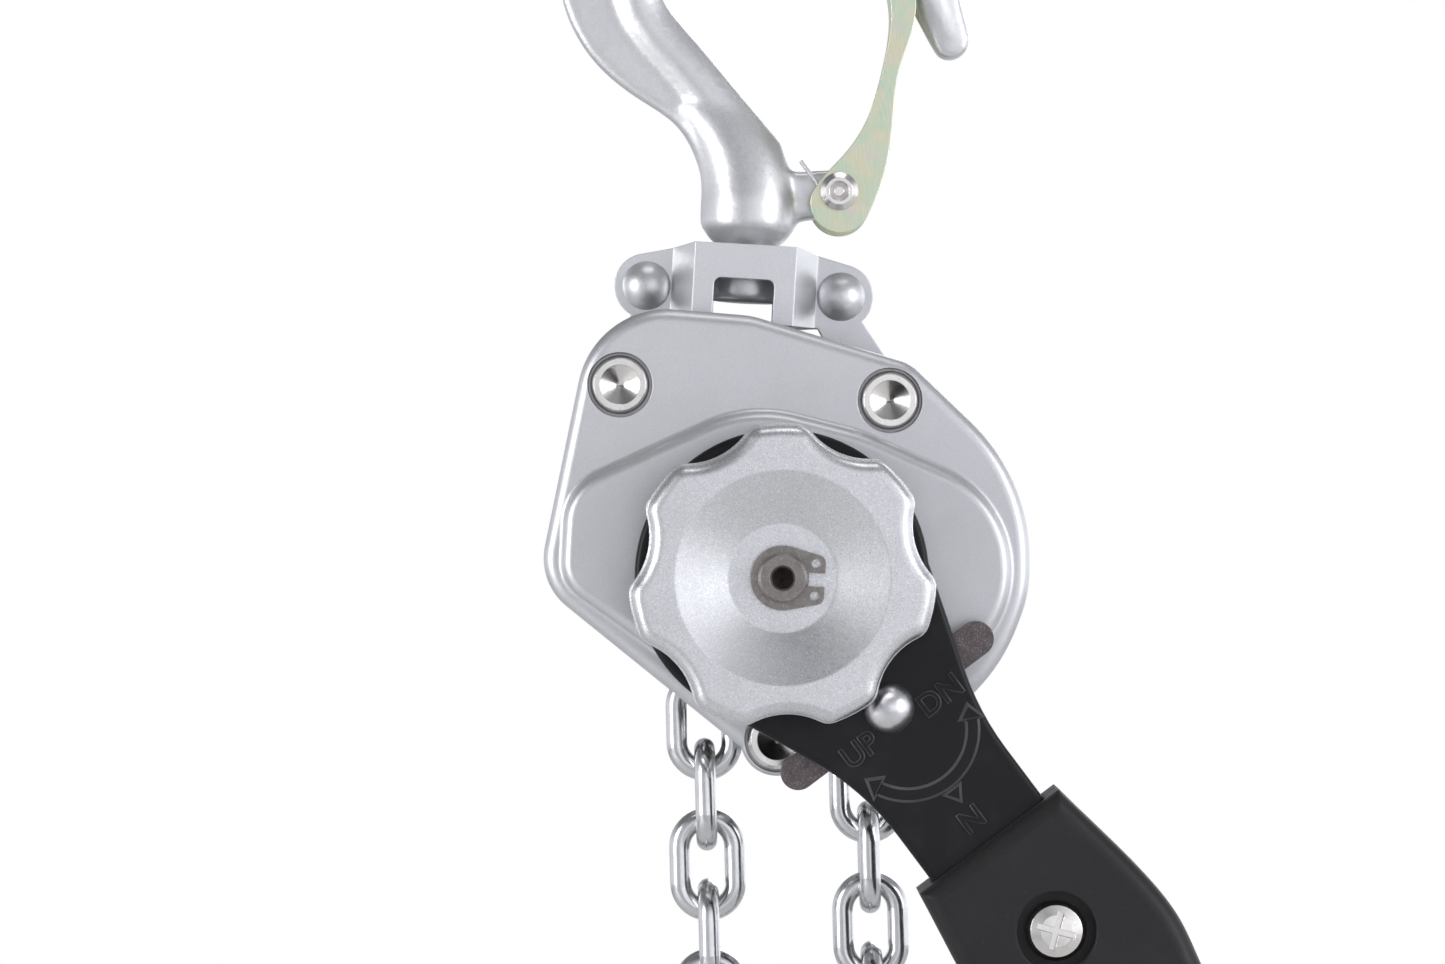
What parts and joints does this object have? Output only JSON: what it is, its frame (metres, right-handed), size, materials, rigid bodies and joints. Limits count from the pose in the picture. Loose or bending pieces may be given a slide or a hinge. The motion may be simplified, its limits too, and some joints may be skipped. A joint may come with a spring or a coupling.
{
  "type": "ratchet lever chain hoist",
  "caption": "Compact hand-lever chain hoist with top and bottom safety hooks, a silver housing, a scalloped free-wheel knob and a black gripped ratchet lever.",
  "frame": {"origin": "seat of the top hook's bowl, where the hoist hangs", "axes": "+Z plumb upwards, -Y towards the lever and hand knob, +X to the right seen from that side; the body leans 4.8 degrees with its lever's weight"},
  "size_m": [0.1507, 0.0881, 0.3864],
  "materials": {
    "silver_paint": "satin",
    "forged_paint": "satin, slightly hammered",
    "knob_casting": "fine cast",
    "black_coat": "semi-gloss powder coat",
    "grip_plastic": "matte",
    "zinc_steel": "bright zinc",
    "dark_steel": "phosphated",
    "yellow_zinc": "yellow passivated zinc",
    "lining": "friction material",
    "bronze": "machined"
  },
  "bodies": {
    "hanging_hook": {"top_hook": "forged_paint", "top_latch_rivet": "zinc_steel", "top_latch_spring": "zinc_steel"},
    "top_latch_body": {"top_latch": "yellow_zinc"},
    "hoist_frame": {"front_yoke_half": "silver_paint", "rear_yoke_half": "silver_paint", "yoke_rivets": "silver_paint", "front_side_plate": "zinc_steel", "rear_side_plate": "zinc_steel", "brake_cover": "silver_paint", "gear_cover": "silver_paint", "stay_bolts": "zinc_steel", "stay_nuts": "zinc_steel", "stay_spacers": "zinc_steel", "sheave_bearings": "bronze", "chain_guides": "zinc_steel", "chain_stripper": "dark_steel", "chain_on_sheave": "zinc_steel", "gear_axle": "zinc_steel", "pawl_pin": "zinc_steel", "pawl_spring": "zinc_steel"},
    "sheave_body": {"load_sheave": "dark_steel", "load_gear": "dark_steel"},
    "gear_cluster_body": {"gear_cluster": "dark_steel"},
    "shaft_body": {"drive_shaft": "dark_steel", "brake_hub": "dark_steel", "knob_clip": "dark_steel", "hand_knob": "knob_casting", "threaded_hub": "dark_steel", "change_gear": "dark_steel", "friction_linings": "lining"},
    "ratchet_body": {"ratchet_disc": "dark_steel"},
    "pawl_body": {"pawl": "dark_steel"},
    "lever_body": {"lever_front_shell": "black_coat", "lever_rear_shell": "black_coat", "grip_front_half": "grip_plastic", "grip_rear_half": "grip_plastic", "grip_screw": "zinc_steel", "grip_nut": "zinc_steel", "detent_plunger": "zinc_steel", "detent_spring": "zinc_steel"},
    "selector_body": {"selector_plate": "dark_steel", "selector_pawl": "dark_steel", "selector_pin": "zinc_steel"},
    "load_strand": {"load_chain": "zinc_steel", "bottom_yoke_front": "silver_paint", "bottom_yoke_rear": "silver_paint", "bottom_yoke_rivets": "silver_paint", "chain_pin": "zinc_steel"},
    "bottom_hook_body": {"bottom_hook": "forged_paint", "bottom_latch_rivet": "zinc_steel", "bottom_latch_spring": "zinc_steel"},
    "bottom_latch_body": {"bottom_latch": "yellow_zinc"},
    "tail_strand": {"tail_chain": "zinc_steel", "tail_stop_ring": "zinc_steel"}
  },
  "joints": [
    {"name": "top_hook_swivel", "type": "hinge", "parent": "hanging_hook", "child": "hoist_frame", "pos_m": [0, 0, 0], "axis": [0.0837, 0, 0.9965], "continuous": true},
    {"name": "top_latch_open", "type": "hinge", "parent": "hanging_hook", "child": "top_latch_body", "pos_m": [0.01052, 0, -0.05638], "axis": [0, -1, 0], "range_deg": [0, 28], "stiffness_Nm_per_rad": 0.12, "springref_deg": -14.32},
    {"name": "lever_turn", "type": "hinge", "parent": "hoist_frame", "child": "lever_body", "pos_m": [-0.00131, 0, -0.12081], "axis": [0, -1, 0], "continuous": true},
    {"name": "selector_turn", "type": "hinge", "parent": "lever_body", "child": "selector_body", "pos_m": [0.01551, 0, -0.14259], "axis": [0, -1, 0], "range_deg": [-18, 18]},
    {"name": "sheave_turn", "type": "hinge", "parent": "hoist_frame", "child": "sheave_body", "pos_m": [-0.00131, 0, -0.12081], "axis": [0, -1, 0], "continuous": true},
    {"name": "gear_cluster_turn", "type": "hinge", "parent": "hoist_frame", "child": "gear_cluster_body", "pos_m": [0.01868, 0, -0.12049], "axis": [0, -1, 0], "continuous": true},
    {"name": "hand_knob_turn", "type": "hinge", "parent": "hoist_frame", "child": "shaft_body", "pos_m": [-0.00131, 0, -0.12081], "axis": [0, -1, 0], "continuous": true},
    {"name": "ratchet_turn", "type": "hinge", "parent": "hoist_frame", "child": "ratchet_body", "pos_m": [-0.00131, 0, -0.12081], "axis": [0, -1, 0], "continuous": true},
    {"name": "pawl_lift", "type": "hinge", "parent": "hoist_frame", "child": "pawl_body", "pos_m": [-0.03071, 0, -0.11232], "axis": [0, 1, 0], "range_deg": [0, 8], "stiffness_Nm_per_rad": 0.02, "springref_deg": -17.19},
    {"name": "load_strand_swing", "type": "hinge", "parent": "hoist_frame", "child": "load_strand", "pos_m": [-0.01481, 0, -0.14334], "axis": [0, -1, 0], "range_deg": [-25, 3]},
    {"name": "bottom_hook_swivel", "type": "hinge", "parent": "load_strand", "child": "bottom_hook_body", "pos_m": [-0.01481, 0, -0.35815], "axis": [0, 0, 1], "continuous": true},
    {"name": "bottom_latch_open", "type": "hinge", "parent": "bottom_hook_body", "child": "bottom_latch_body", "pos_m": [-0.03001, 0, -0.30285], "axis": [0, -1, 0], "range_deg": [0, 28], "stiffness_Nm_per_rad": 0.12, "springref_deg": -14.32},
    {"name": "tail_swing", "type": "hinge", "parent": "hoist_frame", "child": "tail_strand", "pos_m": [0.01279, 0, -0.16104], "axis": [0, -1, 0], "range_deg": [-3, 25]}
  ],
  "couplings": [
    {"joint": "gear_cluster_turn", "follows": "sheave_turn", "ratio": -1.6667},
    {"joint": "hand_knob_turn", "follows": "sheave_turn", "ratio": 2.7778},
    {"joint": "ratchet_turn", "follows": "sheave_turn", "ratio": 2.7778}
  ]
}
